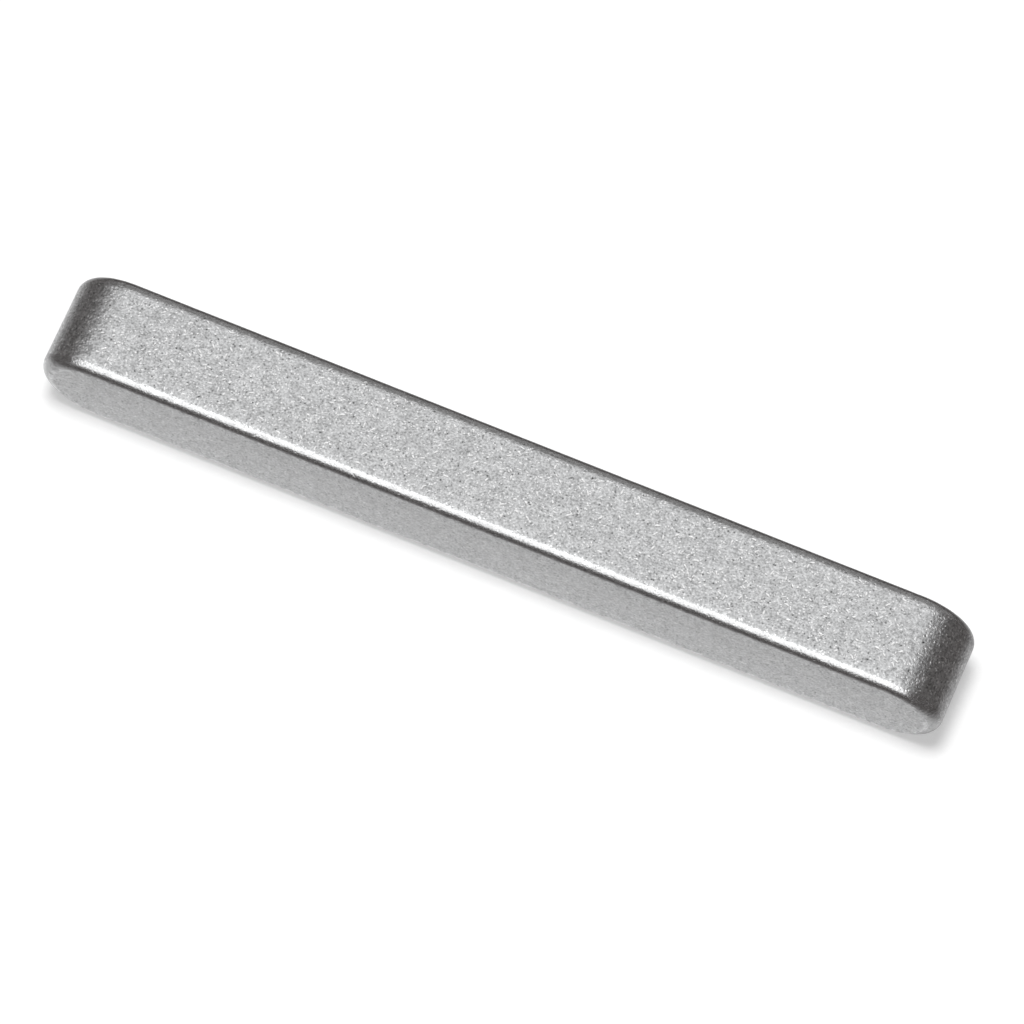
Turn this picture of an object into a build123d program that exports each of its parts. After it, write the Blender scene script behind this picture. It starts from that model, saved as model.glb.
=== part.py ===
from build123d import *
import os

# Parallel key, form A: a straight steel bar with two fully rounded ends. Half of its height beds in
# the keyseat of a shaft and the rest stands into the keyway of a hub, and its two side walls carry
# the torque between them. The edges round its top and bottom faces are softened by tumbling.
#
# The key lies on one side wall, as it comes to rest when it is put down. X runs along its length,
# Y goes through its height from the bottom face to the top face, and Z points up across its width.
# The origin is on the resting surface, under the middle of the key.

# Driving dimensions, in millimetres
KEY_LENGTH = 63.0  # over both round ends
KEY_WIDTH = 8.0  # between the two side walls, the size that fits the keyway
KEY_HEIGHT = 7.0  # from the bottom face to the top face
EDGE_RADIUS = 0.9  # tumbled rounding, all the way round both faces

# Dependent sizes
END_RADIUS = KEY_WIDTH / 2  # each end is a full half circle between the side walls
HALF_HEIGHT = KEY_HEIGHT / 2


def check_sizes() -> None:
    """Refuses sizes that leave the key without a straight stretch, or a wall without a flat."""
    if KEY_LENGTH <= 2 * END_RADIUS:
        raise ValueError("the key is too short for two full half circles")
    if EDGE_RADIUS >= min(END_RADIUS, HALF_HEIGHT):
        raise ValueError("the tumbled edges meet, so no flat is left between them")


def plan_outline() -> Sketch:
    """The key seen square on to its top face: two parallel side walls closed by half circles."""
    return Plane.XZ * SlotOverall(KEY_LENGTH, KEY_WIDTH)


def sharp_key() -> Part:
    """The key as cut from bar and milled round at both ends, before tumbling."""
    return extrude(plan_outline(), amount=HALF_HEIGHT, both=True)


def face_edges(blank: Part) -> ShapeList[Edge]:
    """The closed rims of the bottom face and of the top face, where the bar is still sharp."""
    rims = blank.edges().group_by(Axis.Y)
    return rims[0] + rims[-1]


def tumbled_key() -> Part:
    """The key with both rims rolled to a soft edge that runs on without a break past each end."""
    blank = sharp_key()
    return fillet(face_edges(blank), radius=EDGE_RADIUS)


def resting_key() -> Part:
    """The tumbled key set down on its lower side wall."""
    key = Pos(Z=END_RADIUS) * tumbled_key()
    key.label = "parallel_key"
    return key


check_sizes()
os.makedirs("parts", exist_ok=True)
export_step(resting_key(), "parts/parallel_key.step")
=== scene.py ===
"""A parallel key of tumbled steel, lying on one side wall on a pale table.

The key is one piece: a straight bar with two fully rounded ends and soft edges all round its top
and bottom faces. Everything here is in metres unless a name says otherwise, with X along the key,
Y from its bottom face to its top face and Z up.
"""

import logging
import math
from dataclasses import dataclass, field
from enum import Enum
from typing import Any, ClassVar

import bpy
import numpy as np
from mathutils import Matrix, Vector


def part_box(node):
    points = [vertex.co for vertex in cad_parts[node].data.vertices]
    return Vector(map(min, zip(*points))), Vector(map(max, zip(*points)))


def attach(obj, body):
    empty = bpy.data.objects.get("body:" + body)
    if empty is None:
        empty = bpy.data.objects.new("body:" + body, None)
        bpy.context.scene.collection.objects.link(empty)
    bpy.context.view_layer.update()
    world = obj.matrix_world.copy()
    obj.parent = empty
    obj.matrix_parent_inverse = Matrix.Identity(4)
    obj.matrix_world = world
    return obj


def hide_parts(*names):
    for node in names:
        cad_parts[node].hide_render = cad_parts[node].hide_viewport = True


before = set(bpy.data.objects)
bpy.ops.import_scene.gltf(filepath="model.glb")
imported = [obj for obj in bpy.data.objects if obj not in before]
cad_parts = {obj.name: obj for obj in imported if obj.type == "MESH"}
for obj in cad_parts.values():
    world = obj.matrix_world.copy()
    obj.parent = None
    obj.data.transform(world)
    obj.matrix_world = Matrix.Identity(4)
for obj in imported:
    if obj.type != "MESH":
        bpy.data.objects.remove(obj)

log = logging.getLogger("parallel_key")

MM = 0.001  # one millimetre
KEY_NODE = "parallel_key"
STEEL_SLOT = "tumbled_steel"
BODY = "root"
WALL_TOLERANCE = 0.001 * MM  # how near the top a point lies to count as on the upper side wall
DARK_CLOTH = (1.0, 0.92, 0.90, 1.0)  # the slightly warm tint of the dark card and curtain
WHITE = (1.0, 1.0, 1.0, 1.0)

Array = np.ndarray
Socket = bpy.types.NodeSocket


# ------------------------------------------------------------------------------------------------
# Shape
# ------------------------------------------------------------------------------------------------


@dataclass(frozen=True)
class KeySizes:
    """The key's own sizes, in metres.

    Attributes:
        length: Over both round ends.
        width: Between the two side walls, from the table up.
        height: From the bottom face to the top face.
        edge_radius: Rounding left by tumbling, all round both faces.
    """

    length: float
    width: float
    height: float
    edge_radius: float

    @classmethod
    def from_frame(cls, node: str) -> "KeySizes":
        """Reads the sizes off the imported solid.

        The edge radius is how far the flat of the upper side wall stops short of the top face.

        Args:
            node: Name of the key's node in the frame.

        Returns:
            The sizes of that node.
        """
        low, high = (np.array(corner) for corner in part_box(node))
        length, height, width = high - low
        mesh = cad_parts[node].data
        points = np.empty(len(mesh.vertices) * 3, np.float32)
        mesh.vertices.foreach_get("co", points)
        points = points.reshape(-1, 3)
        on_wall = points[:, 2] > high[2] - WALL_TOLERANCE
        flat_edge = float(points[on_wall, 1].max())
        return cls(float(length), float(width), float(height), float(high[1]) - flat_edge)

    @property
    def end_radius(self) -> float:
        """Radius of the half circle at each end."""
        return self.width / 2

    @property
    def straight(self) -> float:
        """Half of the straight stretch between the centres of the two ends."""
        return self.length / 2 - self.end_radius


@dataclass(frozen=True)
class Dents:
    """Shallow round dents knocked into a surface by the other parts in the tumbling drum.

    Attributes:
        count: How many dents there are.
        radius: Smallest and largest radius.
        depth: Smallest and largest depth.
        seed: Start of the random draws.
    """

    count: int
    radius: tuple[float, float]
    depth: tuple[float, float]
    seed: int

    def sink(self, points: Array, chance: Array) -> Array:
        """How far each point is pushed in.

        A dent is a saucer: its depth times the square of (1 - (r / radius) squared), where r is the
        distance to its middle. Where dents overlap, the deeper one counts.

        Args:
            points: Places on the surface, n by 3.
            chance: Weight of each point as a dent's middle.

        Returns:
            The depth at each point, 0 or more.
        """
        rng = np.random.default_rng(self.seed)
        middles = points[rng.choice(len(points), self.count, p=chance / chance.sum())]
        radii = rng.uniform(*self.radius, self.count)
        depths = rng.uniform(*self.depth, self.count)
        sunk = np.zeros(len(points))
        for middle, radius, depth in zip(middles, radii, depths):
            near = np.flatnonzero(np.abs(points[:, 0] - middle[0]) < radius)
            share = ((points[near] - middle) ** 2).sum(1) / radius**2
            saucer = depth * np.clip(1 - share, 0, None) ** 2
            sunk[near] = np.maximum(sunk[near], saucer)
        return sunk


@dataclass
class KeySkin:
    """The key's closed outer surface, as one even sheet of four-sided faces.

    Attributes:
        sizes: The key's sizes.
        rows: Faces across half of the width of a flat face.
        edge_rows: Faces across one tumbled edge.
        face_size: Side of a face along the straight stretch and up the wall.
        dents: The dents all over the surface.
        rim_knocks: The smaller, sharper dents along the tumbled edges.
        highlight_turn: Angle of the normal from the wall's at which the painted highlight is
            strongest, in radians.
        highlight_spread: How far that angle changes over which the painted highlight fades, in
            radians.
        highlight_on_flat: How strong the painted highlight is on the outermost points of the flats.
        highlight_fade: How much weaker the painted highlight is on the upper side of the key than
            at its foot.
    """

    sizes: KeySizes
    rows: int = 20
    edge_rows: int = 10
    face_size: float = 0.16 * MM
    dents: Dents = Dents(900, (0.25 * MM, 0.7 * MM), (0.0010 * MM, 0.0045 * MM), 11)
    rim_knocks: Dents = Dents(420, (0.16 * MM, 0.38 * MM), (0.002 * MM, 0.010 * MM), 12)
    # The next four shape the painted highlight line along the rims, which is brightest at the key's
    # foot.
    highlight_turn: float = 1.5
    highlight_spread: float = 0.1
    highlight_on_flat: float = 0.6
    highlight_fade: float = 0.7

    def flat_grid(self) -> Array:
        """Points of the flat part of a face, seen square on, as columns of (x, z).

        Between the centres of the two ends the columns are straight. Past them, a square grid is
        laid over the half disc by the concentric map: a point (q, v) of the square goes to the
        radius max(|q|, |v|), at an angle that grows evenly along the square's side. So there is no
        pole at the end, and the outermost points lie evenly on the half circle.

        Returns:
            An array of columns by rows by 2, with z measured from the middle.
        """
        reach = self.sizes.end_radius - self.sizes.edge_radius
        half = self.sizes.straight
        v = np.linspace(-1, 1, 2 * self.rows + 1)
        columns = round(2 * half / self.face_size)
        x = np.linspace(-half, half, columns + 1)
        middle = np.stack(np.meshgrid(x, v * reach, indexing="ij"), -1)

        q, w = np.meshgrid(np.arange(1, self.rows + 1) / self.rows, v, indexing="ij")
        radius = np.maximum(q, np.abs(w))
        slope = np.minimum(q, np.abs(w)) / radius * math.pi / 4
        angle = np.where(np.abs(w) <= q, slope, math.pi / 2 - slope) * np.sign(w)
        cap = reach * radius[..., None] * np.stack([np.cos(angle), np.sin(angle)], -1)
        right = cap + [half, 0]
        left = (cap * [-1, 1] - [half, 0])[::-1]
        return np.concatenate([left, middle, right])

    def section(self) -> tuple[Array, Array, Array]:
        """The profile that is carried round the outline, from the bottom face to the top face.

        It is a quarter circle, the straight wall and a second quarter circle.

        Returns:
            For each point of the profile its distance out from the end's centre, its place along
            the height, and the angle of its outward normal above the outward direction.
        """
        r = self.sizes.edge_radius
        flat = self.sizes.height / 2 - r
        turn = np.linspace(0, math.pi / 2, self.edge_rows + 1)
        climb = np.linspace(-flat, flat, round(2 * flat / self.face_size) + 1)[1:-1]
        wall = np.full(len(climb), self.sizes.end_radius)
        core = self.sizes.end_radius - r
        out = np.concatenate([core + r * np.sin(turn), wall, core + r * np.cos(turn)])
        along = np.concatenate([-flat - r * np.cos(turn), climb, flat + r * np.sin(turn)])
        lean = np.concatenate([turn - math.pi / 2, np.zeros(len(climb)), turn])
        return out, along, lean

    def build(self) -> tuple[Array, Array, dict[str, Array]]:
        """Works out the whole skin.

        Returns:
            The points, the four-sided faces as rows of four point numbers, and three shares for
            each point by name. "edge" is the sine of twice the normal's angle above the wall's:
            0 on a flat and 1 in the middle of a tumbled edge. "squarely" is the size of the
            normal's part along the height: 0 on the wall round the key and 1 on the bottom and
            top faces. "painted_highlight" is where a painted highlight goes: a bell,
            exp(-((angle - highlight_turn) / highlight_spread) squared), on the thin line where
            such a face runs out into its tumbled edge, times a fade with height, so that the
            painted highlight is brightest at the key's foot, next to the table.
        """
        grid = self.flat_grid()
        columns, rows = grid.shape[:2]
        flat_count = columns * rows
        number = np.arange(flat_count).reshape(columns, rows)
        loop = np.concatenate(
            [number[:, 0], number[-1, 1:-1], number[::-1, -1], number[0, -2:0:-1]]
        )
        rim = grid.reshape(-1, 2)[loop]
        centre_x = rim[:, 0].clip(-self.sizes.straight, self.sizes.straight)
        centre = np.stack([centre_x, np.zeros_like(centre_x)], -1)
        outward = rim - centre
        outward /= np.linalg.norm(outward, axis=1, keepdims=True)

        out, along, lean = (values[1:-1] for values in self.section())
        ring_xz = centre + out[:, None, None] * outward
        ring_shape = ring_xz.shape[:2]
        ring_y = np.broadcast_to(along[:, None], ring_shape)
        rings = np.stack([ring_xz[..., 0], ring_y, ring_xz[..., 1]], -1)
        ring_normals = np.stack(
            [
                np.cos(lean)[:, None] * outward[:, 0],
                np.broadcast_to(np.sin(lean)[:, None], ring_shape),
                np.cos(lean)[:, None] * outward[:, 1],
            ],
            -1,
        )
        flats, flat_normals = [], []
        for side in (-1, 1):
            face_y = np.full(flat_count, side * self.sizes.height / 2)
            flats.append(np.stack([grid[..., 0].ravel(), face_y, grid[..., 1].ravel()], -1))
            flat_normals.append(np.tile([0.0, side, 0.0], (flat_count, 1)))
        points = np.concatenate([flats[0], rings.reshape(-1, 3), flats[1]])
        normals = np.concatenate([flat_normals[0], ring_normals.reshape(-1, 3), flat_normals[1]])
        points[:, 2] += self.sizes.end_radius

        tilt, flat = np.abs(lean), np.zeros(flat_count)
        edge = np.concatenate([flat, np.repeat(np.sin(2 * tilt), len(loop)), flat])
        # Mask of the painted highlight: a light line where a face meets its tumbled edge, fading
        # with height so that it is strongest at the foot.
        flat_highlight = np.zeros(flat_count)
        flat_highlight[loop] = self.highlight_on_flat
        ring_highlight = np.exp(-(((tilt - self.highlight_turn) / self.highlight_spread) ** 2))
        painted_highlight = np.concatenate([flat_highlight, np.repeat(ring_highlight, len(loop)), flat_highlight])
        painted_highlight *= 1 - self.highlight_fade * points[:, 2] / self.sizes.width
        shares = {"edge": edge, "squarely": np.abs(normals[:, 1]), "painted_highlight": painted_highlight}
        faces = self._faces(number, loop, len(along), flat_count)
        sunk = self.dents.sink(points, np.ones(len(points)))
        sunk = np.maximum(sunk, self.rim_knocks.sink(points, edge**2))
        return points - normals * sunk[:, None], faces, shares

    @staticmethod
    def _faces(number: Array, loop: Array, ring_count: int, flat_count: int) -> Array:
        """Joins the two flat grids and the rings between them, all faces turned outwards.

        Args:
            number: Point numbers of the bottom grid, columns by rows.
            loop: Point numbers round that grid's rim.
            ring_count: How many rings of points lie between the two grids.
            flat_count: Points in one grid.

        Returns:
            The faces as rows of four point numbers.
        """
        a, b = number[:-1, :-1].ravel(), number[1:, :-1].ravel()
        c, d = number[1:, 1:].ravel(), number[:-1, 1:].ravel()
        bottom = np.stack([a, b, c, d], 1)
        top_start = flat_count + ring_count * len(loop)
        top = bottom[:, ::-1] + top_start
        between = flat_count + np.arange(ring_count * len(loop)).reshape(ring_count, -1)
        belts = np.concatenate([loop[None], between, loop[None] + top_start])
        here, above = belts[:-1], belts[1:]
        wall = np.stack(
            [here, above, np.roll(above, -1, axis=1), np.roll(here, -1, axis=1)], -1
        ).reshape(-1, 4)
        return np.concatenate([bottom, wall, top])


# ------------------------------------------------------------------------------------------------
# Nodes
# ------------------------------------------------------------------------------------------------


class Sheet:
    """One node tree being drawn up: it places nodes and links them.

    Attributes:
        HIGHEST: The highest level that a curve can reach.
        tree: The tree.
    """

    HIGHEST: ClassVar[float] = 1.5

    def __init__(self, tree: bpy.types.NodeTree) -> None:
        """Starts on an empty tree.

        Args:
            tree: The tree of a material, world or group.
        """
        self.tree = tree
        tree.nodes.clear()

    def node(
        self, kind: str, inputs: dict[Any, Any] | None = None, **settings: Any
    ) -> bpy.types.Node:
        """Places a node.

        Args:
            kind: The node's type name.
            inputs: Socket name or number, with either a value or the socket that feeds it.
            **settings: The node's own settings.

        Returns:
            The new node.
        """
        made = self.tree.nodes.new(kind)
        for name, value in settings.items():
            setattr(made, name, value)
        for key, value in (inputs or {}).items():
            if isinstance(value, bpy.types.NodeSocket):
                self.tree.links.new(value, made.inputs[key])
            else:
                made.inputs[key].default_value = value
        return made

    def math(self, operation: str, *values: Any, clamp: bool = False) -> Socket:
        """A Math node on one to three values or sockets."""
        inputs = dict(enumerate(values))
        made = self.node("ShaderNodeMath", inputs, operation=operation, use_clamp=clamp)
        return made.outputs[0]

    def vector(self, operation: str, *values: Any, out: str = "Vector") -> Socket:
        """A Vector Math node on one or two vectors or sockets."""
        made = self.node("ShaderNodeVectorMath", dict(enumerate(values)), operation=operation)
        return made.outputs[out]

    def ramp(self, value: Any, span: tuple[float, float], ends: tuple[float, float]) -> Socket:
        """A smooth step from the first to the second of ends as value crosses the span."""
        limits = {"Value": value, "From Min": span[0], "From Max": span[1]}
        limits |= {"To Min": ends[0], "To Max": ends[1]}
        step = self.node("ShaderNodeMapRange", limits, interpolation_type="SMOOTHSTEP")
        return step.outputs[0]

    def blend(self, share: Any, low: Any, high: Any) -> Socket:
        """A value that goes from low to high as share goes from 0 to 1."""
        made = self.node("ShaderNodeMix", {"Factor": share, "A": low, "B": high}, data_type="FLOAT")
        return made.outputs[0]

    def curve(self, value: Socket, places: tuple[float, ...], levels: tuple[float, ...]) -> Socket:
        """A smooth curve through the given points.

        Args:
            value: What is read off along the curve, from 0 to 1.
            places: Where the points lie, from low to high.
            levels: The curve's level at each of them, up to HIGHEST.

        Returns:
            The socket of the level.
        """
        made = self.node("ShaderNodeFloatCurve", {"Value": value})
        points = made.mapping.curves[0].points
        ready = len(points)  # a new curve has its two ends
        for index, (place, level) in enumerate(zip(places, levels)):
            if index < ready:
                points[index].location = (place, level / self.HIGHEST)
            else:
                points.new(place, level / self.HIGHEST)
        made.mapping.update()
        return self.math("MULTIPLY", made.outputs[0], self.HIGHEST)

    def seen(self) -> Socket:
        """1 for the eye and for what metal and glass show, and 0 for light that falls on things."""
        path = self.node("ShaderNodeLightPath").outputs
        shown = self.math("MAXIMUM", path["Is Glossy Ray"], path["Is Transmission Ray"])
        return self.math("MAXIMUM", path["Is Camera Ray"], shown)

    def cloth(self, solid: Socket, shade: float) -> None:
        """Ends the tree with a dark cloth that is partly clear.

        Args:
            solid: How solid the cloth is, from 0 to 1.
            shade: How bright it is.
        """
        clear = self.node("ShaderNodeBsdfTransparent")
        dark = self.node("ShaderNodeEmission", {"Color": DARK_CLOTH, "Strength": shade})
        parts = {0: solid, 1: clear.outputs[0], 2: dark.outputs[0]}
        both = self.node("ShaderNodeMixShader", parts)
        self.node("ShaderNodeOutputMaterial", {"Surface": both.outputs[0]})


def new_group(
    name: str, inputs: dict[str, float | None], outputs: list[str]
) -> tuple[Sheet, bpy.types.Node, bpy.types.Node]:
    """Starts a shader node group.

    Args:
        name: The group's name.
        inputs: Each input's name, with its value, or None for a place.
        outputs: The names of the outputs, all plain values.

    Returns:
        The sheet, the node that holds the inputs and the node that takes the outputs.
    """
    tree = bpy.data.node_groups.new(name, "ShaderNodeTree")
    for label, value in inputs.items():
        kind = "NodeSocketVector" if value is None else "NodeSocketFloat"
        socket = tree.interface.new_socket(label, in_out="INPUT", socket_type=kind)
        if value is not None:
            socket.default_value = value
    for label in outputs:
        tree.interface.new_socket(label, in_out="OUTPUT", socket_type="NodeSocketFloat")
    sheet = Sheet(tree)
    return sheet, sheet.node("NodeGroupInput"), sheet.node("NodeGroupOutput")


def marks_group() -> bpy.types.NodeTree:
    """Short straight marks that lie in all directions.

    Space is cut into cells round scattered points. Each cell has its own direction, and a mark is
    where the ellipsoid round that direction cuts the surface:
    1 - (along / half length) squared - (across / half width) squared, where that is above 0.

    Returns:
        The group. Its place is in millimetres.
    """
    sheet, given, result = new_group(
        "Tumble marks",
        {"Place": None, "Spacing": 0.5, "Half length": 0.2, "Half width": 0.05, "Share": 0.7},
        ["Mark"],
    )
    density = sheet.math("DIVIDE", 1.0, given.outputs["Spacing"])
    cells = sheet.node("ShaderNodeTexVoronoi", {"Vector": given.outputs["Place"], "Scale": density})
    local = sheet.vector("SUBTRACT", given.outputs["Place"], cells.outputs["Position"])
    direction = sheet.vector("SUBTRACT", cells.outputs["Color"], (0.5, 0.5, 0.5))
    direction = sheet.vector("NORMALIZE", direction)
    along = sheet.vector("DOT_PRODUCT", local, direction, out="Value")
    whole = sheet.vector("DOT_PRODUCT", local, local, out="Value")
    along_squared = sheet.math("MULTIPLY", along, along)
    across_squared = sheet.math("SUBTRACT", whole, along_squared)
    length_squared = sheet.math("POWER", given.outputs["Half length"], 2.0)
    width_squared = sheet.math("POWER", given.outputs["Half width"], 2.0)
    used = sheet.math("DIVIDE", along_squared, length_squared)
    used = sheet.math("ADD", used, sheet.math("DIVIDE", across_squared, width_squared))
    inside = sheet.math("SUBTRACT", 1.0, used, clamp=True)
    draw = sheet.node("ShaderNodeTexWhiteNoise", {"Vector": cells.outputs["Position"]})
    kept = sheet.math("LESS_THAN", draw.outputs["Value"], given.outputs["Share"])
    mark = sheet.math("MULTIPLY", inside, kept)
    sheet.tree.links.new(mark, result.inputs["Mark"])
    return sheet.tree


def grain_group() -> bpy.types.NodeTree:
    """The closely packed grain that tumbling leaves between the marks, and its mottling.

    The grain is a noise with its middle at 0. The mottling is a second one, three grains wide.

    Returns:
        The group. Its place is in millimetres.
    """
    grains_wide = 3.0
    sheet, given, result = new_group(
        "Tumble grain", {"Place": None, "Grain": 0.2}, ["Height", "Mottle"]
    )
    density = sheet.math("DIVIDE", 1.0, given.outputs["Grain"])
    noise = sheet.node(
        "ShaderNodeTexNoise",
        {"Vector": given.outputs["Place"], "Scale": density, "Detail": 2.0, "Roughness": 0.6},
    )
    height = sheet.math("SUBTRACT", noise.outputs["Fac"], 0.5)
    sheet.tree.links.new(height, result.inputs["Height"])
    wide = sheet.node(
        "ShaderNodeTexNoise",
        {
            "Vector": given.outputs["Place"],
            "Scale": sheet.math("DIVIDE", density, grains_wide),
            "Detail": 1.0,
            "Roughness": 0.5,
        },
    )
    mottle = sheet.math("SUBTRACT", wide.outputs["Fac"], 0.5)
    sheet.tree.links.new(mottle, result.inputs["Mottle"])
    return sheet.tree


# ------------------------------------------------------------------------------------------------
# Finish
# ------------------------------------------------------------------------------------------------


class MarkKind(Enum):
    """The kinds of mark on the tumbled surface, largest first."""

    STROKE = "stroke"
    NICK = "nick"
    PIT = "pit"


@dataclass(frozen=True)
class MarkLayer:
    """One kind of mark, in millimetres.

    Attributes:
        spacing: About how far apart the marks lie.
        half_length: Half of a mark's length.
        half_width: Half of a mark's width.
        share: How many of the places hold a mark.
        depth: How deep a mark goes.
        tone: How much lighter the steel is in it, or darker below 0.
        on_faces: How much of that tone it has on the bottom and top faces, which are calmer.
    """

    spacing: float
    half_length: float
    half_width: float
    share: float
    depth: float
    tone: float
    on_faces: float


@dataclass(frozen=True)
class TumbledSteel:
    """Plain bright steel with a tumbled surface, and a painted highlight line where its faces meet
    their tumbled edges.

    Attributes:
        colour: The steel's own colour.
        roughness: Of the flats.
        edge_roughness: Of the tumbled edges, which are rubbed smoother.
        grain: Size of the grain, in millimetres.
        grain_depth: Its height, in millimetres.
        grain_tone: How much the grain lightens and darkens the steel.
        mottle_tone: How much the mottling does.
        rim_highlight_tone: How much lighter the steel is painted, as a highlight, where a face
            meets its tumbled edge.
        rim_highlight_gap_tone: The same in the gaps of that painted highlight line.
        rim_highlight_break: Mottling at which the painted highlight line starts to be broken, and
            at which it is whole.
        edge_calm: Share of the pattern's strength that is left on the tumbled edges.
        face_calm: The same on the bottom and top faces.
        layer_step: How far the pattern slides from one kind of mark to the next, in millimetres.
        layers: The marks, by kind.
    """

    colour: tuple[float, float, float] = (0.604, 0.609, 0.614)
    roughness: float = 0.30
    edge_roughness: float = 0.24
    grain: float = 0.16
    grain_depth: float = 0.034
    grain_tone: float = 1.85
    mottle_tone: float = 0.72
    # The next three set the painted highlight line where a face meets its tumbled edge.
    rim_highlight_tone: float = 0.8
    rim_highlight_gap_tone: float = 0.15
    rim_highlight_break: tuple[float, float] = (-0.16, 0.05)
    edge_calm: float = 0.6
    face_calm: float = 0.7
    layer_step: tuple[float, float, float] = (17.3, 5.1, -9.7)
    layers: dict[MarkKind, MarkLayer] = field(
        default_factory=lambda: {
            MarkKind.STROKE: MarkLayer(0.46, 0.25, 0.075, 0.80, 0.016, 1.45, 0.35),
            MarkKind.NICK: MarkLayer(0.25, 0.12, 0.062, 0.72, 0.009, 0.95, 0.45),
            MarkKind.PIT: MarkLayer(0.30, 0.120, 0.070, 0.60, 0.009, -0.58, 1.4),
        }
    )

    def material(self) -> bpy.types.Material:
        """Builds the material.

        Returns:
            The finished material, with its pattern on Object coordinates in millimetres.
        """
        made = bpy.data.materials.new(STEEL_SLOT)
        made.use_nodes = True
        sheet = Sheet(made.node_tree)
        place = sheet.node("ShaderNodeTexCoord").outputs["Object"]
        place = sheet.vector("SCALE", place)
        place.node.inputs["Scale"].default_value = 1 / MM
        edge = sheet.node("ShaderNodeAttribute", attribute_name="edge").outputs["Fac"]
        face = sheet.node("ShaderNodeAttribute", attribute_name="squarely").outputs["Fac"]
        # Mask of the painted highlight line along the rims, strongest at the key's foot.
        painted_highlight = sheet.node("ShaderNodeAttribute", attribute_name="painted_highlight").outputs["Fac"]

        marks, grain = marks_group(), grain_group()
        grained = sheet.node("ShaderNodeGroup", node_tree=grain)
        sheet.tree.links.new(place, grained.inputs["Place"])
        grained.inputs["Grain"].default_value = self.grain
        height = sheet.math("MULTIPLY", grained.outputs["Height"], self.grain_depth)
        tone = sheet.math("MULTIPLY", grained.outputs["Height"], self.grain_tone)
        mottle = sheet.math("MULTIPLY", grained.outputs["Mottle"], self.mottle_tone)
        tone = sheet.math("ADD", tone, mottle)
        for index, layer in enumerate(self.layers.values()):
            slide = tuple(step * index for step in self.layer_step)
            marked = sheet.node("ShaderNodeGroup", node_tree=marks)
            sheet.tree.links.new(sheet.vector("ADD", place, slide), marked.inputs["Place"])
            marked.inputs["Spacing"].default_value = layer.spacing
            marked.inputs["Half length"].default_value = layer.half_length
            marked.inputs["Half width"].default_value = layer.half_width
            marked.inputs["Share"].default_value = layer.share
            sunk = sheet.math("MULTIPLY", marked.outputs["Mark"], -layer.depth)
            height = sheet.math("ADD", height, sunk)
            shown = sheet.blend(face, 1.0, layer.on_faces)
            tint = sheet.math("MULTIPLY", marked.outputs["Mark"], layer.tone)
            tone = sheet.math("ADD", tone, sheet.math("MULTIPLY", tint, shown))

        on_edges = sheet.blend(edge, 1.0, self.edge_calm)
        on_faces = sheet.blend(face, 1.0, self.face_calm)
        calm = sheet.math("MULTIPLY", on_edges, on_faces)
        height = sheet.math("MULTIPLY", height, calm)
        # Painted highlight: the steel is lightened along the line where a face meets its tumbled
        # edge, most at the foot, and the line is broken up by the mottling.
        rim_highlight_tones = (self.rim_highlight_gap_tone, self.rim_highlight_tone)
        broken_highlight = sheet.ramp(grained.outputs["Mottle"], self.rim_highlight_break, rim_highlight_tones)
        painted_rim_highlight = sheet.math("MULTIPLY", painted_highlight, broken_highlight)
        tone = sheet.math("ADD", sheet.math("MULTIPLY", tone, calm), painted_rim_highlight)
        factor = sheet.math("ADD", 1.0, tone)
        colour = sheet.vector("SCALE", self.colour)
        sheet.tree.links.new(factor, colour.node.inputs["Scale"])
        rough = sheet.blend(edge, self.roughness, self.edge_roughness)
        bump = sheet.node("ShaderNodeBump", {"Height": height, "Distance": MM, "Strength": 1.0})
        shader = sheet.node(
            "ShaderNodeBsdfPrincipled",
            {"Base Color": colour, "Metallic": 1.0, "Roughness": rough, "Normal": bump.outputs[0]},
        )
        out = sheet.node("ShaderNodeOutputMaterial")
        sheet.tree.links.new(shader.outputs[0], out.inputs["Surface"])
        return made


# ------------------------------------------------------------------------------------------------
# Pieces
# ------------------------------------------------------------------------------------------------


@dataclass
class TumbledKey:
    """The key itself: its skin in tumbled steel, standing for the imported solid.

    Attributes:
        sizes: The key's sizes.
        finish: Its surface.
    """

    sizes: KeySizes
    finish: TumbledSteel = TumbledSteel()

    def make(self) -> bpy.types.Object:
        """Builds, dresses and places the key.

        Returns:
            The finished piece.
        """
        points, faces, shares = KeySkin(self.sizes).build()
        mesh = bpy.data.meshes.new("key_skin")
        mesh.from_pydata(points.tolist(), [], faces.tolist())
        for name, share in shares.items():
            mesh.attributes.new(name, "FLOAT", "POINT").data.foreach_set("value", share)
        mesh.shade_smooth()
        mesh.update()
        piece = bpy.data.objects.new("key_skin", mesh)
        bpy.context.scene.collection.objects.link(piece)
        mesh.materials.append(self.finish.material())
        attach(piece, BODY)
        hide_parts(KEY_NODE)
        log.info("%s: %d points, %d faces", piece.name, len(points), len(faces))
        return piece


# ------------------------------------------------------------------------------------------------
# Studio
# ------------------------------------------------------------------------------------------------


def plain_plane(name: str, corners: list[tuple[float, float, float]]) -> bpy.types.Object:
    """A flat four-cornered sheet that belongs to the studio.

    Args:
        name: The object's name.
        corners: Its corners in order.

    Returns:
        The sheet.
    """
    mesh = bpy.data.meshes.new(name)
    mesh.from_pydata(corners, [], [(0, 1, 2, 3)])
    sheet = bpy.data.objects.new(name, mesh)
    bpy.context.scene.collection.objects.link(sheet)
    return sheet


def only_in_reflections(thing: bpy.types.Object) -> None:
    """Hides a thing of the studio from all but metal and glass."""
    thing.visible_camera = thing.visible_diffuse = thing.visible_shadow = False


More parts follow.
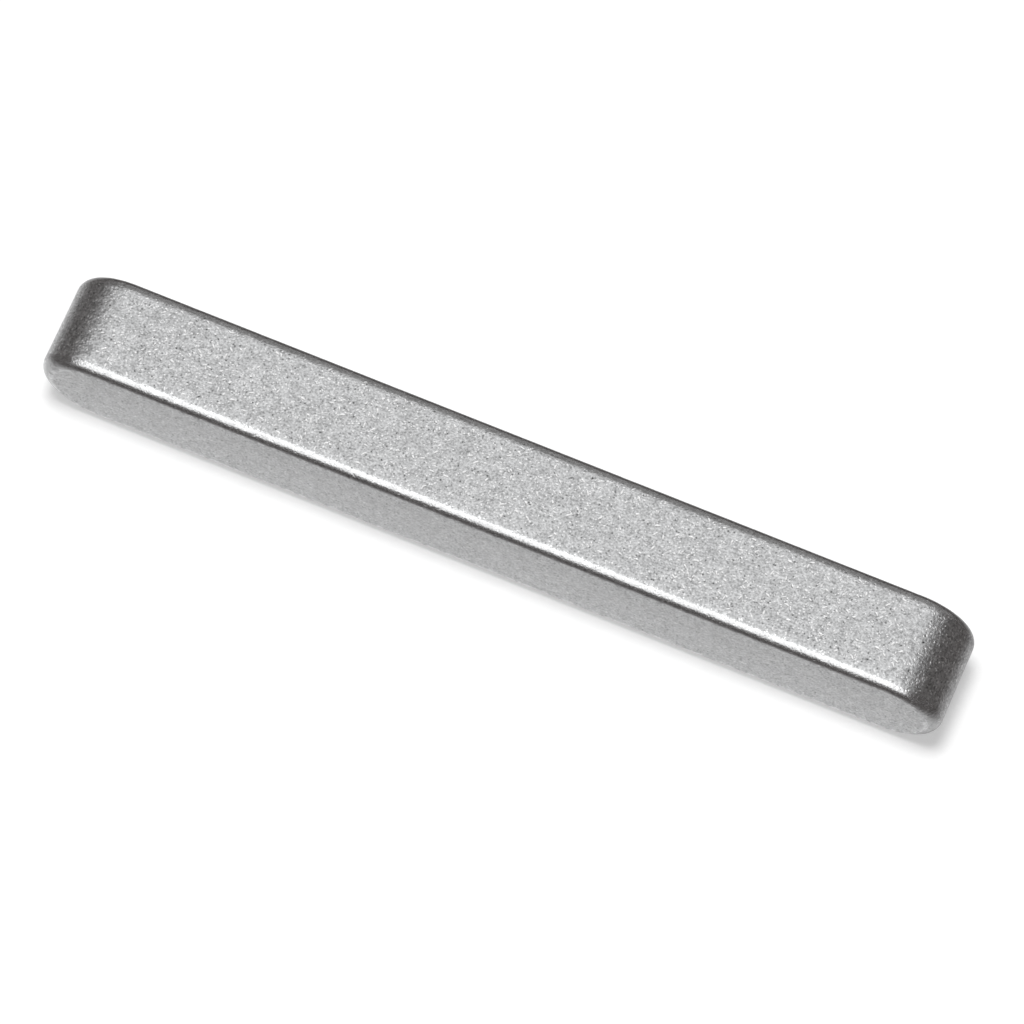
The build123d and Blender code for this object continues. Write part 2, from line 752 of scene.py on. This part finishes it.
@dataclass(frozen=True)
class Table:
    """A large white table top under the key.

    Attributes:
        half_size: Half of its side.
        colour: Its own reflectance.
        glow: What it gives off to the eye, to metal and to glass, so that it shows as white.
    """

    half_size: float = 3.0
    colour: float = 0.8
    glow: float = 0.35

    def make(self) -> bpy.types.Object:
        """Builds the table top, with its surface at the height that the key rests on."""
        s = self.half_size
        top = plain_plane("table_top", [(-s, -s, 0), (s, -s, 0), (s, s, 0), (-s, s, 0)])
        made = bpy.data.materials.new("white_table")
        made.use_nodes = True
        sheet = Sheet(made.node_tree)
        strength = sheet.math("MULTIPLY", sheet.seen(), self.glow)
        matt = sheet.node("ShaderNodeBsdfDiffuse", {"Color": (*[self.colour] * 3, 1)})
        glow = sheet.node("ShaderNodeEmission", {"Strength": strength})
        both = sheet.node("ShaderNodeAddShader", {0: matt.outputs[0], 1: glow.outputs[0]})
        sheet.node("ShaderNodeOutputMaterial", {"Surface": both.outputs[0]})
        top.data.materials.append(made)
        return top


@dataclass(frozen=True)
class DarkCard:
    """A thin dark card round the key on the table, which only the steel sees.

    It is nearly clear close to the key and grows solid further out, so that the steel's edges turn
    dark. What counts is the distance from a rectangle round the key's straight stretch.

    Attributes:
        sizes: The key's sizes, which that rectangle follows.
        half_size: Half of the card's side.
        lift: Height above the table.
        shade: How bright the card is.
        reach: The distance at which it is solid.
        distances: Distances from the rectangle, as shares of that reach.
        solid: How solid the card is at each of them.
        further_left: How far the rectangle goes on past the straight stretch to the left.
        further_right: The same to the right.
    """

    sizes: KeySizes
    half_size: float = 0.3
    lift: float = 0.01 * MM
    shade: float = 0.108
    reach: float = 13.0 * MM
    distances: tuple[float, ...] = (0.0, 0.025, 0.08, 0.23, 0.6, 1.0)
    solid: tuple[float, ...] = (0.12, 0.24, 0.38, 0.45, 0.77, 1.0)
    further_left: float = 8.0 * MM
    further_right: float = 2.0 * MM

    def make(self) -> bpy.types.Object:
        """Lays the card on the table."""
        s, z = self.half_size, self.lift
        card = plain_plane("dark_card", [(-s, -s, z), (s, -s, z), (s, s, z), (-s, s, z)])
        made = bpy.data.materials.new("dark_card")
        made.use_nodes = True
        sheet = Sheet(made.node_tree)
        place = sheet.node("ShaderNodeTexCoord").outputs["Object"]
        aside = (self.further_left - self.further_right) / 2
        half = self.sizes.straight + (self.further_left + self.further_right) / 2
        outside = sheet.vector("ABSOLUTE", sheet.vector("ADD", place, (aside, 0, 0)))
        footprint = (half, self.sizes.height / 2, 1.0)
        outside = sheet.vector("SUBTRACT", outside, footprint)
        outside = sheet.vector("MAXIMUM", outside, (0, 0, 0))
        away = sheet.vector("LENGTH", outside, out="Value")
        share = sheet.math("DIVIDE", away, self.reach)
        sheet.cloth(sheet.curve(share, self.distances, self.solid), self.shade)
        card.data.materials.append(made)
        only_in_reflections(card)
        return card


@dataclass(frozen=True)
class Softbox:
    """A soft rectangular lamp that faces the key.

    Attributes:
        name: Its name.
        azimuth: Direction it stands in, in degrees round from the front, positive to the right.
        elevation: Height above the table, in degrees.
        distance: From the key's middle.
        width: Side along the table.
        tall: The other side.
        radiance: How bright its surface is, where 1 is white.
        for_table: Whether it lights the table; if not, it shows only in the steel.
    """

    name: str
    azimuth: float
    elevation: float
    distance: float
    width: float
    tall: float
    radiance: float
    for_table: bool

    def make(self, target: Vector) -> bpy.types.Object:
        """Hangs the lamp.

        Args:
            target: The point that it faces.

        Returns:
            The lamp's object.
        """
        lamp = bpy.data.lights.new(self.name, "AREA")
        lamp.shape = "RECTANGLE"
        lamp.size, lamp.size_y = self.width, self.tall
        lamp.energy = self.radiance * math.pi * self.width * self.tall
        hung = bpy.data.objects.new(self.name, lamp)
        bpy.context.scene.collection.objects.link(hung)
        back = direction(self.azimuth, self.elevation)
        hung.matrix_world = facing(target + back * self.distance, back, 0.0)
        hung.visible_camera = False
        hung.visible_diffuse = self.for_table
        hung.visible_glossy = not self.for_table
        return hung


def direction(azimuth: float, elevation: float) -> Vector:
    """Unit vector towards a place round the key.

    Args:
        azimuth: Degrees round from the front (-Y), positive towards +X.
        elevation: Degrees above the table.

    Returns:
        The direction from the key to that place.
    """
    az, el = math.radians(azimuth), math.radians(elevation)
    return Vector((math.sin(az) * math.cos(el), -math.cos(az) * math.cos(el), math.sin(el)))


def facing(place: Vector, back: Vector, roll: float) -> Matrix:
    """The matrix of a camera or lamp that looks along -back.

    Args:
        place: Where it stands.
        back: Unit vector from what it looks at towards it.
        roll: Degrees that its picture is turned, right towards up.

    Returns:
        Its world matrix.
    """
    right = Vector((0, 0, 1)).cross(back).normalized()
    up = back.cross(right)
    turn = math.radians(roll)
    tilted_right = math.cos(turn) * right + math.sin(turn) * up
    tilted_up = back.cross(tilted_right)
    matrix = Matrix((tilted_right, tilted_up, back)).transposed().to_4x4()
    matrix.translation = place
    return matrix


@dataclass(frozen=True)
class Curtain:
    """A round dark curtain far out on the table, which only the steel sees.

    It is solid at the foot and grows clear towards the top, where the white surroundings show.

    Attributes:
        radius: Its radius.
        top: Sine of the elevation of its upper edge.
        shade: How bright it is.
        heights: Heights above the table, as the sine of the elevation, from low to high.
        levels: How bright curtain and surroundings look together at each of those heights.
        back: How bright they look low down at the back.
        leftward: How much further down the brightness reaches to the left than to the right.
        left_share: How much of its brightness is left overhead to the left.
        right_share: The same overhead to the right.
        side_span: Where the left share ends and the right one starts, as parts of the direction.
        back_span: Where the look of the back starts and is reached, as parts of the direction.
        folds: How many flat faces lie round the curtain.
        belts: How many lie one above the other.
    """

    radius: float = 2.0
    top: float = 0.995
    shade: float = 0.108
    heights: tuple[float, ...] = (0.0, 0.27, 0.47, 0.59, 0.71, 0.84, 0.94, 1.0)
    levels: tuple[float, ...] = (0.108, 0.108, 0.136, 0.254, 0.508, 0.815, 0.93, 0.95)
    back: float = 0.39
    leftward: float = 0.12
    left_share: float = 0.92
    right_share: float = 1.22
    side_span: tuple[float, float] = (-0.32, 0.08)
    back_span: tuple[float, float] = (0.42, 0.95)
    folds: int = 64
    belts: int = 16

    def make(self) -> bpy.types.Object:
        """Hangs the curtain: a circle of radius R cos(e) at the height R sin(e), for e upwards."""
        turns = np.linspace(0, 2 * math.pi, self.folds + 1)[:-1]
        climbs = np.linspace(0, math.asin(self.top), self.belts + 1)
        e, a = np.meshgrid(climbs, turns, indexing="ij")
        points = np.stack([np.cos(e) * np.cos(a), np.cos(e) * np.sin(a), np.sin(e)], -1)
        points = points.reshape(-1, 3) * self.radius
        number = np.arange(e.size).reshape(e.shape)
        low, high = number[:-1], number[1:]
        faces = np.stack([low, high, np.roll(high, -1, 1), np.roll(low, -1, 1)], -1)
        mesh = bpy.data.meshes.new("dark_curtain")
        mesh.from_pydata(points.tolist(), [], faces.reshape(-1, 4).tolist())
        mesh.shade_smooth()
        curtain = bpy.data.objects.new("dark_curtain", mesh)
        bpy.context.scene.collection.objects.link(curtain)
        made = bpy.data.materials.new("dark_curtain")
        made.use_nodes = True
        sheet = Sheet(made.node_tree)
        toward = sheet.vector("NORMALIZE", sheet.node("ShaderNodeTexCoord").outputs["Object"])
        parts = sheet.node("ShaderNodeSeparateXYZ", {0: toward}).outputs
        lean = sheet.math("MULTIPLY", parts[0], -self.leftward)
        height = sheet.math("ADD", parts[2], lean)
        side = sheet.ramp(parts[0], self.side_span, (self.left_share, self.right_share))
        look = sheet.math("MULTIPLY", sheet.curve(height, self.heights, self.levels), side)
        behind = sheet.ramp(parts[1], self.back_span, (0.0, 1.0))
        look = sheet.blend(behind, look, self.back)
        sheet.cloth(sheet.ramp(look, (self.shade, 1.0), (1.0, 0.0)), self.shade)
        mesh.materials.append(made)
        only_in_reflections(curtain)
        return curtain


@dataclass(frozen=True)
class Surroundings:
    """The white surroundings, which the eye, metal and glass all see.

    Attributes:
        white: How bright they look.
        soft_light: Their strength as light on the table.
    """

    white: float = 1.0
    soft_light: float = 0.25

    def make(self) -> None:
        """Sets up the world."""
        world = bpy.data.worlds.new("surroundings")
        bpy.context.scene.world = world
        world.use_nodes = True
        sheet = Sheet(world.node_tree)
        strength = sheet.blend(sheet.seen(), self.soft_light, self.white)
        light = sheet.node("ShaderNodeBackground", {"Strength": strength})
        light.inputs["Color"].default_value = WHITE
        sheet.node("ShaderNodeOutputWorld", {"Surface": light.outputs[0]})


@dataclass(frozen=True)
class Studio:
    """Table, dark card and curtain, lamps and surroundings.

    Attributes:
        sizes: The key's sizes.
    """

    sizes: KeySizes

    def softboxes(self) -> list[Softbox]:
        """The lamps: one high over the table, and one in front that the steel's edges mirror."""
        return [
            Softbox(
                name="front_softbox",
                azimuth=-8.0,
                elevation=38.0,
                distance=0.6,
                width=0.9,
                tall=0.50,
                radiance=1.40,
                for_table=False,
            ),
            Softbox(
                name="table_softbox",
                azimuth=-120.0,
                elevation=86.5,
                distance=0.7,
                width=0.21,
                tall=0.20,
                radiance=25.0,
                for_table=True,
            ),
        ]

    def make(self) -> None:
        """Sets up the whole studio."""
        Table().make()
        DarkCard(self.sizes).make()
        Curtain().make()
        target = Vector((0, 0, self.sizes.width / 2))
        for lamp in self.softboxes():
            lamp.make(target)
        Surroundings().make()


@dataclass(frozen=True)
class Viewpoint:
    """The camera: a long lens that looks steeply down on the key from the front right.

    Attributes:
        azimuth: Degrees round from the front, positive to the right.
        elevation: Degrees above the table.
        roll: Degrees that the picture is turned.
        distance: From the key's middle.
        lens: Focal length, in millimetres.
        aside: How far the camera slides right and up, to set the key in the frame.
        sensor: Width of the sensor, in millimetres.
        clip: Nearest and furthest distance that it sees.
    """

    azimuth: float = 22.61
    elevation: float = 68.67
    roll: float = 0.45
    distance: float = 474.4 * MM
    lens: float = 258.1
    aside: tuple[float, float] = (0.425 * MM, -0.488 * MM)
    sensor: float = 36.0
    clip: tuple[float, float] = (0.01, 20.0)

    def make(self, target: Vector) -> bpy.types.Object:
        """Sets up the camera and makes it the scene's own.

        Args:
            target: The key's middle.

        Returns:
            The camera's object.
        """
        data = bpy.data.cameras.new("camera")
        data.lens, data.sensor_width = self.lens, self.sensor
        data.clip_start, data.clip_end = self.clip
        camera = bpy.data.objects.new("camera", data)
        bpy.context.scene.collection.objects.link(camera)
        back = direction(self.azimuth, self.elevation)
        pose = facing(target + back * self.distance, back, self.roll)
        slide = pose.to_3x3() @ Vector((*self.aside, 0))
        camera.matrix_world = Matrix.Translation(slide) @ pose
        bpy.context.scene.camera = camera
        return camera


def main() -> None:
    """Builds the camera, the key and the studio, and logs the key's sizes."""
    logging.basicConfig(level=logging.INFO, format="%(name)s: %(message)s")
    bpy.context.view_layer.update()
    sizes = KeySizes.from_frame(KEY_NODE)
    log.info("sizes: %s", sizes)
    Viewpoint().make(Vector((0, 0, sizes.width / 2)))
    TumbledKey(sizes).make()
    Studio(sizes).make()
    bpy.context.scene.view_settings.view_transform = "Standard"


if __name__ == "__main__":
    main()
